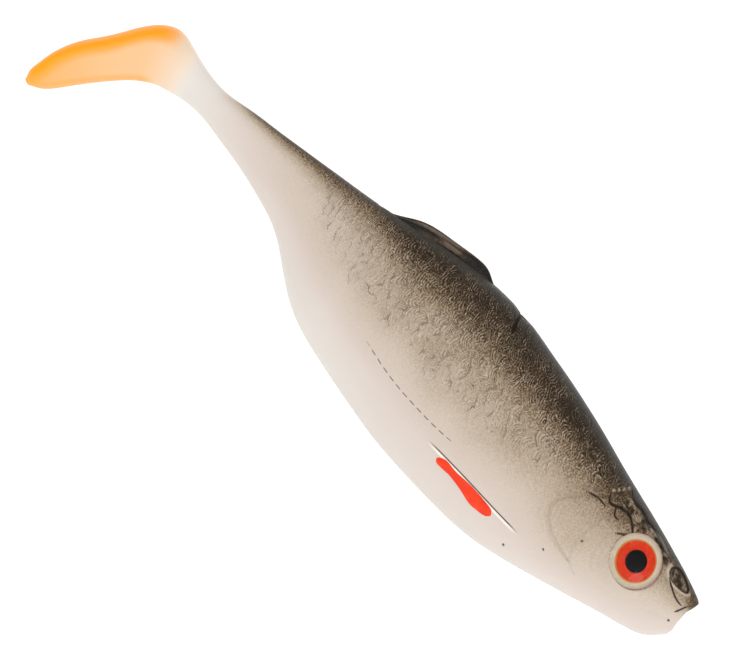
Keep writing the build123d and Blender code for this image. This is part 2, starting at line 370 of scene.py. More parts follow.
wander = 0.55 * (lattice_noise(points, 1.7, 3) - 0.5)
across = girth / scale_girth + wander
forward = np.interp(s_of, scale_size_places, scale_cells)
forward = forward + 0.55 * (lattice_noise(points, 1.9, 5) - 0.5)
row = np.floor(across).astype(np.int64)
top_tile = np.full(s_of.shape, 1e9)
tile_rise = np.zeros(s_of.shape)
growth = np.zeros(s_of.shape)
for step_row, step_cell in itertools.product((-2, -1, 0, 1, 2), repeat=2):
    tile_row = row + step_row
    stagger = 0.5 * (tile_row % 2)
    tile = np.floor(forward - stagger).astype(np.int64) + step_cell
    cells = np.stack([tile, tile_row], axis=-1)
    centre_forward = tile + 0.5 + stagger + shift * (hashed(cells, 11) - 0.5)
    centre_across = tile_row + 0.5 + shift * (hashed(cells, 12) - 0.5)
    back_by, down_by = forward - centre_forward, across - centre_across
    inside = (np.hypot(back_by, down_by) < tile_reach) & (centre_forward < top_tile)
    top_tile = np.where(inside, centre_forward, top_tile)
    tile_rise = np.where(inside, 0.5 + back_by / (2 * tile_reach), tile_rise)
    from_focus = np.hypot(back_by + 0.45, down_by + 0.2)
    growth = np.where(inside, from_focus + 0.6 * hashed(cells, 13), growth)

# %% [markdown]
# The tiles fade out below a line along the flank, on the head, on the ridge and on the stalk.

# %% Where the scales are
scaled_edge_places = [28, 32, 44, 58, 68, 97, 110, 122, 132]
scaled_edge_heights = [9.8, 6.9, 0.3, -3.4, -4.1, -4.0, -1.3, 2.1, 4.4]
edge_height = np.interp(s_of, scaled_edge_places, scaled_edge_heights)
ragged = 3.0 * (lattice_noise(points, 2.2, 7) - 0.5)
scaled = soft_step(z_of + ragged, edge_height - 1.0, edge_height + 3.0)
scaled = scaled * soft_step(s_of, 26, 29) * (1 - soft_step(s_of, 112, 131))
ridge_gap = np.interp(s_of, [28, 60, 75, 84, 100, 130], [4.5, 3.0, 2.2, 3.6, 3.4, 2.0])
scaled = scaled * soft_step(girth, ridge_gap - 1.2, ridge_gap + 1.2)
lift = scale_height * scaled * (tile_rise - 0.5)
print("scaled share of the skin", round(float((scaled > 0.5).mean()), 3))

# %% [markdown]
# ## Engraved lines
# The head's plates, the mouth and the fold over the red fin are lines cut into the mould. Each is
# a smooth curve on the flank; a vertex knows how far it is from the nearest one, in line widths.
# The groove is real relief, and the same distance later paints some grooves dark, as painted shade.

# %% Distance to a curve on the flank
def curve_through(places, count=24):
    """Points along a smooth curve through a few (s, z) places."""
    places = np.array(places, float)
    knots = np.concatenate([[0], np.cumsum(np.linalg.norm(np.diff(places, axis=0), axis=1))])
    return batten(knots, places, np.linspace(0, knots[-1], count))


def away_from(curve, width, tapered=True):
    """Distance from the curve for every vertex, in widths that shrink towards its ends."""
    nearest = np.full(s_of.shape, 99.0)
    for index, (a, b) in enumerate(zip(curve, curve[1:])):
        run = b - a
        t = ((s_of - a[0]) * run[0] + (z_of - a[1]) * run[1]) / max(run @ run, 1e-9)
        t = np.clip(t, 0, 1)
        gap = np.hypot(s_of - a[0] - t * run[0], z_of - a[1] - t * run[1])
        place = (index + t) / (len(curve) - 1)
        narrow = np.minimum(1, 0.25 + 4 * np.minimum(place, 1 - place)) if tapered else 1
        nearest = np.minimum(nearest, gap / (width * narrow))
    return nearest


# %% [markdown]
# Lines in the first list also get dark paint in their grooves, as painted shade; the others are only
# shaped in the plastic.

# %% The lines, (behind the nose, height) in millimetres
plate_crease = [
    (28, 11.4), (26.2, 10.3), (23.3, 10.1), (20.8, 9.4), (18.5, 9.2), (15.8, 8.1), (11.8, 7.5),
]
plate_foot = [
    (31.1, 8.6), (29.3, 6.6), (27.9, 7.1), (25.9, 7.7), (23.8, 7.4), (21.8, 5.9), (20.8, 4.8),
]
cheek_nick = [(24.1, 3.2), (22.7, 4.3), (21.7, 5.2)]
gill_top_nick = [(34.7, 4.6), (32.7, 5.4), (29.5, 5.4)]
temple_line = [(27.9, 7.1), (26.5, 5.4), (25.4, 5.6)]
preopercle = [(28.1, 3.8), (27.9, 0.5), (27.9, -2.9), (27.1, -5.8), (25.5, -7.9), (23.2, -9.1)]
cheek_curve = [(24.8, 1.2), (24.1, -1.1), (23, -4), (21.4, -6)]
gill_edge = [
    (30.5, 7.2), (33.4, 4.8), (36.4, 1.4), (37.8, -2.2), (35.5, -5.6), (30.3, -7.6), (26.1, -8.2),
]
upper_lip = [(2.3, 2.7), (4.6, 2.9), (6.9, 3.8), (9.2, 4.9)]
mouth = [(1.2, 3.4), (2.2, 1.6), (2.7, 0.7)]
chin_line = [(3, -1.1), (4.6, -2.4), (6.4, -3.1)]
socket_line = [(23.4, -0.2), (23.8, 2.1), (23.4, 4)]
hole_crack = [(71.3, 18.8), (70.8, 17.4), (70.3, 16.4), (69.7, 15.2)]

# each line with its half width and its depth; a negative depth is a ridge
shaded_lines = [
    (plate_crease, 0.22, 0.16), (plate_foot, 0.24, 0.16), (cheek_nick, 0.18, 0.10),
    (gill_top_nick, 0.16, 0.10), (temple_line, 0.16, 0.08), (upper_lip, 0.17, 0.12),
    (mouth, 0.22, 0.18), (hole_crack, 0.34, 0.45),
]
plain_lines = [
    (preopercle, 0.45, -0.45), (cheek_curve, 0.45, -0.32), (gill_edge, 0.40, 0.48),
    (chin_line, 0.5, 0.2), (socket_line, 0.30, 0.2),
]
# distance to the nearest place that gets painted shade in a groove or hollow
groove_shade_distance = np.full(s_of.shape, 99.0)
for places, width, depth in shaded_lines:
    away = away_from(curve_through(places), width)
    groove_shade_distance = np.minimum(groove_shade_distance, away)
    lift = lift - depth * bell(away, 1.3)
for places, width, depth in plain_lines:
    lift = lift - depth * bell(away_from(curve_through(places), width), 1.0)
print("engraved lines", len(shaded_lines) + len(plain_lines))

# %% [markdown]
# The fold over the red fin and the lateral line are as thin as a hair. Their distance keeps its
# sign, because a value that runs straight through zero stays sharp between vertices, and the
# shader draws the hair at zero.

# %% Fold and lateral line
fold_line = [(37.5, -12.2), (44.7, -12.4), (55.0, -12.5), (64.9, -12.9)]
lateral_line = [(60.1, -9.2), (65.0, -9.8), (71.1, -10.1), (79.1, -10.0), (89.6, -8.5)]


def above_line(places):
    """Height of every vertex over a line, and how far it is past the line's ends."""
    curve = np.array(places)
    heights = batten(curve[:, 0], curve[:, 1:], s_of.reshape(-1))[:, 0].reshape(s_of.shape)
    past = np.maximum(curve[0, 0] - s_of, s_of - curve[-1, 0])
    return z_of - heights, past


fold_rise, fold_past = above_line(fold_line)
lateral_rise, lateral_past = above_line(lateral_line)
on_fold = 1 - soft_step(fold_past, -2.0, 0.0)
on_lateral = 1 - soft_step(lateral_past, -2.0, 0.0)
fold_groove, fold_swell, lateral_groove = 0.14, 0.10, 0.06
lift = lift - fold_groove * bell(fold_rise, 0.35) * on_fold
lift = lift + fold_swell * bell(fold_rise + 0.7, 0.5) * on_fold
lift = lift - lateral_groove * bell(lateral_rise, 0.35) * on_lateral
print("fold", fold_line[0], "lateral line", lateral_line[0])

# %% [markdown]
# ## Softer forms of the head
# The brow plate is rough, like cast bone. The nostril is a leaf-shaped dimple with a raised lip,
# and four pores stand in a row behind the brow. Everything else keeps the faint unevenness of
# poured plastic.

# %% Brow plate, nostril and pores
plate_upper = [
    (9, 7.2), (11.3, 7.4), (15.3, 8.1), (18, 9.1), (20.3, 9.4), (22.8, 10.0), (25.7, 10.3), (30, 12.0),
]
plate_lower = [(9, 6.4), (13, 5.6), (20.3, 4.9), (21.3, 5.6), (23.3, 7.2), (27.4, 7.1), (30, 8.4)]
plate_top = np.interp(s_of, *zip(*plate_upper))
plate_low = np.interp(s_of, *zip(*plate_lower))
brow = soft_step(z_of, plate_low - 0.3, plate_low + 0.5)
brow = brow * (1 - soft_step(z_of, plate_top - 0.3, plate_top + 0.3))
brow = brow * soft_step(s_of, 10, 13) * (1 - soft_step(s_of, 26, 30))
coarse, fine = lattice_noise(points, 1.1, 21) - 0.5, lattice_noise(points, 0.6, 22) - 0.5
lift = lift + brow * 0.34 * coarse + brow * 0.20 * fine

nostril_at, nostril_reach, nostril_slope = (7.0, 5.9), (3.1, 1.25), 0.16
nostril_depth, nostril_lip = 0.42, 0.14
along_nostril = s_of - nostril_at[0]
over_nostril = z_of - nostril_at[1] - nostril_slope * along_nostril
leaf = 1.0 + 0.28 * along_nostril / nostril_reach[0]
nostril = np.hypot(along_nostril / nostril_reach[0], over_nostril / (nostril_reach[1] * leaf))
lift = lift - nostril_depth * (1 - soft_step(nostril, 0.55, 1.0))
lift = lift + nostril_lip * bell(nostril - 1.12, 0.16)
lift = lift + 0.30 * bell(np.hypot(along_nostril + 0.5, over_nostril * 2), 0.8)

pore_places = [(30.8, 8.8), (30.1, 9.6), (29.4, 10.4), (28.7, 11.2)]
pores = np.zeros(s_of.shape)
for s, z in pore_places:
    pores = np.maximum(pores, bell(np.hypot(s_of - s, z_of - z), 0.30))
lift = lift + 0.10 * pores

uneven = lattice_noise(points, 9.0, 31) - 0.5
lift = lift + 0.16 * uneven * soft_step(s_of, 2, 12) + 0.02 * (lattice_noise(points, 0.9, 32) - 0.5)

# %% [markdown]
# ## Cutting what holds the other pieces
# The fin stands in a trough along the ridge, the hook comes out of a small hole, and each eye has
# a round pocket. A round edge on a grid of squares would come out jagged, so vertices near the
# circle are slid onto it before the inside is pushed down.

# %% Fin trough
fin_low, fin_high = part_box("dorsal_fin")
trough_half, trough_depth, trough_lip = 1.15, 1.3, 0.12
fin_front_s, fin_rear_s = -fin_high.x / mm, -fin_low.x / mm
trough_ends = soft_step(s_of, fin_front_s - 0.6, fin_front_s + 2.0)
trough_ends = trough_ends * (1 - soft_step(s_of, fin_rear_s - 2.5, fin_rear_s + 0.6))
from_ridge = np.abs(points[:, :, 1])
trough = np.clip(1 - (from_ridge / trough_half) ** 2, 0, 1) * (level > 0.5) * trough_ends
lip = bell(from_ridge - trough_half - 0.35, 0.5) * (level > 0.5) * trough_ends
lift = lift - trough_depth * trough + trough_lip * lip

# %% [markdown]
# The hook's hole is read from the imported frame's mount. The skin sinks into it like a funnel.

# %% Hook hole and displaced skin
funnel_depth, funnel_reach = 0.9, 1.5
hook_exit = next(m for m in frame["record"]["mounts"] if m["name"] == "hook_exit")
hole_axis = np.array(hook_exit["axis"])
hole_mouth = np.array(hook_exit["pos_m"]) / mm + hole_axis * hook_exit["dims"]["length_mm"] / 2
hole_radius = hook_exit["dims"]["r_mm"]
from_hole = np.linalg.norm(points - hole_mouth, axis=2)
lift = lift - funnel_depth * bell(from_hole, funnel_reach)
skin = points + smooth_normals * lift[:, :, None]


def round_pocket(centre, axis, radius, depth, side, rim, rim_reach):
    """Pushes the skin down inside a circle and draws it to a rim level around it."""
    axis = np.array(axis) / np.linalg.norm(axis)
    offset = skin - np.array(centre)
    rise = offset @ axis
    flat = offset - rise[:, :, None] * axis
    away = np.linalg.norm(flat, axis=2)
    near = (np.abs(rise) < radius + 4) & ((side == 0) | (side_of * side > 0))
    inside = near & (away < radius)
    around = near & (away >= radius) & (away < radius + rim_reach)
    slid = np.where(inside & (away > radius - 0.4), radius - 0.02, away)
    slid = np.where(around & (away < radius + 0.4), radius + 0.03, slid)
    weight = 1 - soft_step(away, radius, radius + rim_reach)
    risen = np.where(inside, -depth, np.where(around, rise + weight * (rim - rise), rise))
    moved = np.array(centre) + flat * (slid / np.maximum(away, 1e-9))[:, :, None]
    moved = moved + risen[:, :, None] * axis
    changed = inside | around
    return np.where(changed[:, :, None], moved, skin), np.where(near, away, 99.0)


# %% [markdown]
# The eyes' places are read from the frame: the middle of each foil's box is the middle of the
# eye, and both look a little forward and up.

# %% Eye pockets and hook hole
eye_radius, eye_clearance = 6.0, 0.1
eye_toe_out, eye_lift = math.radians(12.7), math.radians(17.0)
foil_below_rim = 0.7        # middle of the foil under the lens's rim
pocket_depth, pocket_rim, pocket_fillet = 1.15, 0.1, 2.2
eyes = {}
eye_distance = np.full(s_of.shape, 99.0)
for word, side in (("right", -1), ("left", 1)):
    low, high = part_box(f"eye_foil_{word}")
    out = Vector((math.sin(eye_toe_out),
                  side * math.cos(eye_toe_out) * math.cos(eye_lift),
                  math.sin(eye_lift))).normalized()
    centre = (low + high) / 2 / mm + out * foil_below_rim
    skin, away = round_pocket(
        centre, out, eye_radius + eye_clearance, pocket_depth, side, pocket_rim, pocket_fillet
    )
    eye_distance = np.minimum(eye_distance, away)
    eyes[word] = (side, centre, out)
    print("eye", word, [round(v, 2) for v in centre])

hole_depth, hole_rim = 3.5, -1.1    # how deep it shows, and its edge under the round of the back
skin, _ = round_pocket(hole_mouth, hole_axis, hole_radius, hole_depth, 0, hole_rim, 0.6)
print("hook hole mouth", hole_mouth.round(2), "radius", hole_radius)

# %% [markdown]
# ## Nose and toe
# The nose is cut nearly flat, to sit against a jig head, with a shallow mouth in it. The outer
# rings are drawn in a little so that its edge is round. The toe ends in a small dome.

# %% Shape the nose
lip_heights = [-6.0, -3.9, -2.5, -1.0, 2.9, 5.8]
lip_setback = [0.6, 0.15, 0.10, 0.62, 1.0, 0.10]
round_length = 1.5
near_nose = np.clip(1 - s_of / round_length, 0, 1)
nose_middle = np.array([0, 0, 0.3])
squeeze = 1 - 0.04 * near_nose ** 2
skin[:, :, 1] = skin[:, :, 1] * squeeze
skin[:, :, 2] = nose_middle[2] + (skin[:, :, 2] - nose_middle[2]) * squeeze
setback = np.interp(z_of, lip_heights, lip_setback)
skin[:, :, 0] = skin[:, :, 0] - setback * np.clip(1 - s_of / 5.0, 0, 1) ** 2


def cap_rings(ring, towards, count, bulge):
    """Rings that shrink from an end ring to its middle, moved along an outward direction."""
    middle = ring.mean(axis=0)
    made = []
    for k in range(1, count + 1):
        share = 1 - k / (count + 1)
        made.append(middle + (ring - middle) * share + np.array(towards) * bulge(share))
    return np.array(made), middle + np.array(towards) * bulge(0.0)


mouth_depth = 1.3
nose_rings, nose_centre = cap_rings(
    skin[0], (1, 0, 0), 14, lambda share: -mouth_depth * float(soft_step(1 - share, 0.18, 0.75))
)
toe_out = np.array([-up_s[-1], 0, -1.6]) / np.hypot(up_s[-1], 1.6)
toe_height = 0.45
toe_rings, toe_centre = cap_rings(
    skin[-1], toe_out, 8, lambda share: toe_height * math.sqrt(max(0.0, 1 - share ** 2))
)

# %% [markdown]
# ## Where each finish goes
# The bait has a cream body, an airbrushed brown-black back that fades down the flank, an orange
# boot and painted shade in its grooves and hollows. Each of these is a value painted onto the vertices.
# `tone` runs from bare cream to black; its table gives it from belly to back at a few places.

# %% Airbrush tone
tone_levels = [0.05, 0.20, 0.35, 0.50, 0.60, 0.70, 0.80, 0.90, 0.98]
tone_rows = {
    0: [0.10, 0.16, 0.20, 0.26, 0.34, 0.46, 0.62, 0.80, 0.92],
    14: [0.14, 0.22, 0.32, 0.38, 0.44, 0.54, 0.66, 0.70, 0.92],
    30: [0.10, 0.24, 0.38, 0.50, 0.57, 0.65, 0.80, 0.94, 1.00],
    45: [0.12, 0.17, 0.28, 0.43, 0.53, 0.63, 0.77, 0.97, 1.00],
    75: [0.09, 0.17, 0.32, 0.49, 0.57, 0.66, 0.86, 0.97, 1.00],
    90: [0.04, 0.13, 0.30, 0.46, 0.51, 0.61, 0.80, 0.94, 1.00],
    100: [0.02, 0.10, 0.26, 0.41, 0.46, 0.52, 0.69, 0.90, 0.98],
    110: [0.02, 0.13, 0.25, 0.34, 0.35, 0.38, 0.51, 0.74, 0.92],
    120: [0.08, 0.16, 0.26, 0.31, 0.33, 0.37, 0.50, 0.74, 0.88],
    132: [0.10, 0.17, 0.20, 0.23, 0.24, 0.29, 0.43, 0.66, 0.84],
    141: [0.06, 0.10, 0.13, 0.16, 0.17, 0.20, 0.29, 0.50, 0.72],
    150: [0.00, 0.02, 0.03, 0.04, 0.04, 0.04, 0.04, 0.04, 0.04],
    158: [0.00] * 9,
}
tone = np.zeros(s_of.shape)
row_places = list(tone_rows)
for place, values in tone_rows.items():
    hill = np.interp(s_of, row_places, [float(place == other) for other in row_places])
    tone = tone + hill * np.interp(level, tone_levels, values)
tone = tone + 0.10 * (lattice_noise(points, 6.0, 41) - 0.5) * soft_step(tone, 0.1, 0.5)

# %% [markdown]
# The brow plate holds blotches of brown, the nostril's hollow is painted dark as painted shade, and the
# pores are paler. The snout is dark only at its upper lip.

# %% Paint on the head
blotch = soft_step(lattice_noise(points, 0.75, 43), 0.30, 0.72)
tone = tone + brow * (0.79 + 0.24 * (blotch - 0.5) - tone) * 0.95
squiggles = sum(
    bell(lattice_noise(points, size, seed) - 0.5, 0.05) for size, seed in ((1.2, 61), (0.8, 62))
)
tone = tone + 0.22 * np.minimum(squiggles, 1) * brow
# painted shade: the nostril's hollow is painted nearly black, with a dark line at its rim and a paler
# ring just outside its raised lip
nostril_shade = 1 - soft_step(nostril, 0.72, 1.0)
tone = tone + nostril_shade * (0.98 - 0.22 * blotch - tone)
tone = tone - 0.25 * bell(nostril - 1.2, 0.15) * (level < 0.93)
groove_shade_distance = np.minimum(groove_shade_distance, 0.3 + np.abs(nostril - 0.98) * 9)
upper_lip_dark = (1 - soft_step(s_of, 0.8, 3.2)) * soft_step(z_of, 2.4, 4.6)
tone = tone + upper_lip_dark * (0.86 - tone)
tone = tone - 0.45 * pores
tone = np.where(eye_distance < 6.15, np.minimum(tone, 0.30), tone)
# ridge marks where the dark back turns over the top; there the skin gets a painted reflection
ridge = soft_step(level, 0.93, 0.99) * soft_step(tone, 0.3, 0.6)
# painted shade in and around the hook's hole
groove_shade_distance = np.minimum(groove_shade_distance, np.maximum(0.2, from_hole - hole_radius))
# painted shade in the fin's trough
groove_shade_distance = np.minimum(groove_shade_distance, 1.9 - 1.6 * trough)

# %% [markdown]
# A few bubbles burst at the mould's wall when the bait was poured, and each left a pinprick, painted
# dark as painted shade in the pit.

# %% Pinpricks
pinpricks = [(27.6, -3.0), (31.6, -10.5), (37.8, -16.4), (2.2, -1.4)]
for s, z in pinpricks:
    away = np.hypot(s_of - s, z_of - z)
    groove_shade_distance = np.minimum(groove_shade_distance, away / 0.26)
    skin = skin - smooth_normals * (0.10 * bell(away, 0.25))[:, :, None]
print("pinpricks", len(pinpricks))

# %% [markdown]
# The boot was poured orange first and the clear cream ran into it. The colour is strongest along
# the sole and thin where the two plastics mixed at the ankle.

# %% Orange pour
from_sole = (1 - level) * reach[:, None]
from_instep = level * reach[:, None]
travel_mm = np.broadcast_to(ring_travel[:, None], s_of.shape)
heel_travel = travel[len(trunk_stations) + 3]
toe_travel = travel[-1]
pale = 0.46 * soft_step(travel_mm, heel_travel - 9, heel_travel + 5)
pale = pale + 0.20 * soft_step(travel_mm, heel_travel + 6, toe_travel)
sole_on = soft_step(travel_mm, heel_travel - 2.5, heel_travel + 2.5)
sole_edge = (1 - soft_step(from_sole, 1.6, 4.6)) * sole_on
instep_on = soft_step(travel_mm, heel_travel - 1, heel_travel + 4)
instep_edge = 0.45 * (1 - soft_step(from_instep, 0.4, 2.0)) * instep_on
toe_edge = soft_step(travel_mm, toe_travel - 5, toe_travel - 0.5)
pour = pale + (1 - pale) * np.maximum(np.maximum(sole_edge, instep_edge), 0.9 * toe_edge)
print("orange share of the boot", round(float((pour > 0.7).mean()), 3))

# %% [markdown]
# ## Plastisol skin
# Plastisol is PVC softened with oil: IOR about 1.52, a satin gloss and no metal. The mould's fine
# texture breaks the gloss a little. An all-white studio mirrored in the skin would wash out its
# paint, so the specular level is held low. The scales' growth rings get a painted highlight on
# their raised crests and painted shade in their grooves, so they show as pale and dark arcs.

# %% Material: airbrushed plastisol
growth_pitch = 0.235        # scales' growth rings, in cells, about 0.6 mm on the bait
droplet = 0.38              # airbrush grain, mm
worn_patch = 2.4            # places where the growth rings were rubbed flat, mm
dash_pitch = 2.2            # from one dash of the lateral line to the next, mm
mould_grain = 0.16          # sandblasted texture of the mould, drawn coarse enough to show, mm
cream_to_black = [
    (0.00, "#d7d2cb"), (0.20, "#ccbeb5"), (0.33, "#c1b3a5"), (0.45, "#b2a290"), (0.54, "#a69684"),
    (0.62, "#968671"), (0.78, "#6b5844"), (0.92, "#372d22"), (1.00, "#272018"),
]
cream_to_orange = [
    (0.00, "#e6d6c7"), (0.20, "#e2cab0"), (0.45, "#eabb8c"), (0.70, "#f2a85a"), (1.00, "#fc9e1c"),
]

# %% Skin: what the vertices carry, and three noises
skin_finish, add, rest = new_material("airbrushed_plastisol")
growth_in, scaled_in, rise_in, tone_in, ridge_reflection_in, pour_in, groove_shade_in = (
    add("ShaderNodeAttribute", out="Fac", attribute_name=mark)
    for mark in ("growth", "scaled", "rise", "tone", "ridge", "pour", "ink")
)
grain = add("ShaderNodeTexNoise", {
    "Vector": rest, "Scale": 1 / droplet, "Detail": 3.0, "Roughness": 0.65,
})
pit = add("ShaderNodeTexNoise", {"Vector": rest, "Scale": 1 / mould_grain, "Detail": 2.0})
patch = add("ShaderNodeTexNoise", {"Vector": rest, "Scale": 1 / worn_patch, "Detail": 2.0})

# %% Skin: rings of growth
ring_wobble = 8.0           # how far the grain bends the rings, radians
ring_turn = 2 * math.pi / growth_pitch
wobble = add("ShaderNodeMath", [grain, ring_wobble], operation="MULTIPLY")
phase = add("ShaderNodeMath", [growth_in, ring_turn, wobble], operation="MULTIPLY_ADD")
wave = add("ShaderNodeMath", [phase], operation="SINE")
kept = add("ShaderNodeMapRange", {"Value": patch, "From Min": 0.40, "From Max": 0.60, "To Min": 0.25})
scale_mask = add("ShaderNodeMath", [scaled_in, kept], operation="MULTIPLY")
arcs = add("ShaderNodeMath", [wave, scale_mask], operation="MULTIPLY")

# %% [markdown]
# The rings' crests are thin and their valleys wide, so the two halves of the wave are weighed
# apart: painted highlight on the crests and painted shade in the valleys. Each scale also gets
# painted shade at its front, under the scale ahead, and a painted highlight at its free edge.
# The spray's grain is added, and bare cream takes none of either.

# %% Skin: airbrush grain, and painted highlight and shade on the scales
# painted highlight and shade that follow the scales' rings and overlaps
crest_highlight, valley_shade, overlap_shade, speckle = 0.25, 0.12, 0.16, 0.85
crest = add("ShaderNodeMath", [wave, 0.0], operation="MAXIMUM")
crest = add("ShaderNodeMath", [crest, 3.0], operation="POWER")
valley = add("ShaderNodeMath", [wave, 0.0], operation="MINIMUM")
valley = add("ShaderNodeMath", [valley, -valley_shade], operation="MULTIPLY")
ring_light_and_shade = add("ShaderNodeMath", [crest, -crest_highlight, valley], operation="MULTIPLY_ADD")
overlap_shading = add("ShaderNodeMath", [rise_in, -overlap_shade, overlap_shade / 2], operation="MULTIPLY_ADD")
scale_light_and_shade = add("ShaderNodeMath", [ring_light_and_shade, overlap_shading], operation="ADD")
speck = add("ShaderNodeMath", [grain, speckle, -speckle / 2], operation="MULTIPLY_ADD")
grain_and_scale_shading = add("ShaderNodeMath", [scale_light_and_shade, scale_mask, speck], operation="MULTIPLY_ADD")
paint_weight = add("ShaderNodeMapRange", {"Value": tone_in, "From Min": 0.12, "From Max": 0.75})
tone_out = add("ShaderNodeMath", [grain_and_scale_shading, paint_weight, tone_in], operation="MULTIPLY_ADD")
painted = add("ShaderNodeValToRGB", [tone_out], cream_to_black)
# painted reflection: slate grey over the dark paint along the ridge, standing in for the pale sky
# mirrored there
ridge_reflection_weight = add("ShaderNodeMath", [ridge_reflection_in, 0.35], operation="MULTIPLY")
painted = add("ShaderNodeMix", {0: ridge_reflection_weight, 6: painted, 7: colour("#4c4e4b")}, out=2, data_type="RGBA")

# %% Skin: orange pour and painted shade in the grooves
orange = add("ShaderNodeValToRGB", [pour_in], cream_to_orange)
poured = add("ShaderNodeMapRange", {"Value": pour_in, "From Min": 0.0, "From Max": 0.12})
painted = add("ShaderNodeMix", {0: poured, 6: painted, 7: orange}, out=2, data_type="RGBA")
# painted shade: near-black brown along the grooves, the hook's hole, the fin's trough, the nostril and
# the pits
crinkle = add("ShaderNodeMath", [grain, 2.0, -1.0], operation="MULTIPLY_ADD")
ragged_groove_shade = add("ShaderNodeMath", [groove_shade_in, crinkle], operation="ADD")
groove_shade_weight = add("ShaderNodeMapRange", {
    "Value": ragged_groove_shade, "From Min": 1.5, "From Max": 0.8, "To Max": 0.92,
})
painted = add("ShaderNodeMix", {0: groove_shade_weight, 6: painted, 7: colour("#1a120c")}, out=2, data_type="RGBA")

# %% [markdown]
# A hair line is drawn where its signed distance passes through zero, since the absolute value is
# small only there. The lateral line is broken into dashes by a wave along the bait. The fold's
# dark hair is painted shadow under its step, and a thin painted highlight lies just below it.

# %% Skin: hair lines
run = add("ShaderNodeSeparateXYZ", [rest])
dash = add("ShaderNodeMath", [run, 2 * math.pi / dash_pitch], operation="MULTIPLY")
dash = add("ShaderNodeMath", [dash], operation="SINE")
dash = add("ShaderNodeMath", [dash, 0.0], operation="MAXIMUM")
hair_lines = [
    # mark, offset across, fades from and to, widening at the gaps, strength, colour
    # the fold's dark hair is painted shadow, and its pale hair a painted highlight
    ("fold", 0.0, 0.195, 0.065, 0.0, 0.95, "#33261d"),
    ("fold", 0.42, 0.25, 0.10, 0.0, 0.70, "#faf3e6"),
    ("lateral", 0.0, 0.165, 0.055, 0.2, 0.80, "#33261d"),
]
for mark, offset, fade_from, fade_to, gaps, strength, code in hair_lines:
    across = add("ShaderNodeAttribute", out="Fac", attribute_name=mark)
    across = add("ShaderNodeMath", [across, offset], operation="ADD")
    away = add("ShaderNodeMath", [across], operation="ABSOLUTE")
    away = add("ShaderNodeMath", [dash, gaps, away], operation="MULTIPLY_ADD")
    hair = add("ShaderNodeMapRange", {"Value": away, "From Min": fade_from, "From Max": fade_to})
    past = add("ShaderNodeAttribute", out="Fac", attribute_name=mark + "_past")
    within = add("ShaderNodeMapRange", {
        "Value": past, "From Min": 0.0, "From Max": -3.0, "To Max": strength,
    })
    shown = add("ShaderNodeMath", [hair, within], operation="MULTIPLY")
    painted = add("ShaderNodeMix", {0: shown, 6: painted, 7: colour(code)}, out=2, data_type="RGBA")
print("hair lines", len(hair_lines))

# %% Skin: gloss and fine relief
gloss = add("ShaderNodeMapRange", {"Value": grain, "To Min": 0.30, "To Max": 0.46})
pitted = add("ShaderNodeMath", [pit, 0.35], operation="MULTIPLY")
height = add("ShaderNodeMath", [arcs, 0.5, pitted], operation="MULTIPLY_ADD")
height = add("ShaderNodeMath", [grain, paint_weight, height], operation="MULTIPLY_ADD")
bump = add("ShaderNodeBump", {"Height": height, "Distance": 0.09 * mm, "Strength": 1.0})
shine(add, {
    "Base Color": painted, "Roughness": gloss, "Normal": bump, "IOR": 1.52,
    "Specular IOR Level": 0.06,
})

# %% [markdown]
# ## Split the skin where the frame bends
# The real skin is one piece, but here it is cut into seven lengths. Each length is cut from the
# same grid, so neighbours share their ring and its normals. The head's length is attached to its
# body; the others are left in place, their bodies and blend places are not used, and no length's
# slot is used. The ends are closed, hidden inside, so every length is a sound solid.

# %% Skin lengths
trunk_slot, tail_slot = "trunk_plastisol", "tail_plastisol"
skin_lengths = [
    # name, behind the nose from and to, bodies, blend from and to, node, slot
    ("skin_head", 0, 50, ("trunk_front",), None, "front_body", trunk_slot),
    ("skin_shoulder", 50, 95, ("trunk_front", "trunk_middle"), (57.5, 93.7), "mid_body", trunk_slot),
    ("skin_vent", 95, 120.4, ("trunk_middle", "trunk_rear"), (105.2, 119.8), "rear_body", trunk_slot),
    ("skin_stalk_root", 120.4, 132.6, ("trunk_rear", "stalk_front"), (123.5, 132.1),
     "tail_stalk_front", trunk_slot),
    ("skin_stalk", 132.6, 140.4, ("stalk_front", "stalk_middle"), (133.6, 140.0),
     "tail_stalk_middle", trunk_slot),
    ("skin_ankle", 140.4, 147.6, ("stalk_middle", "stalk_rear"), (140.8, 146.9),
     "tail_stalk_rear", trunk_slot),
    ("skin_boot", 147.6, None, ("stalk_rear", "tail"), (148.1, 156.8), "paddle", tail_slot),
]
vertex_marks = {
    "tone": tone, "growth": growth, "scaled": scaled, "rise": tile_rise, "ridge": ridge,
    "pour": pour, "ink": groove_shade_distance, "fold": fold_rise, "fold_past": fold_past,
    "lateral": lateral_rise, "lateral_past": lateral_past,
}
capped_skin = np.concatenate([nose_rings[::-1], skin, toe_rings])
capped_normals = grid_normals(capped_skin)
skin_normals = capped_normals[len(nose_rings):-len(toe_rings)]
cap_rows = ((len(nose_rings), len(toe_rings)), (0, 0))
capped_marks = {mark: np.pad(values, cap_rows, mode="edge") for mark, values in vertex_marks.items()}


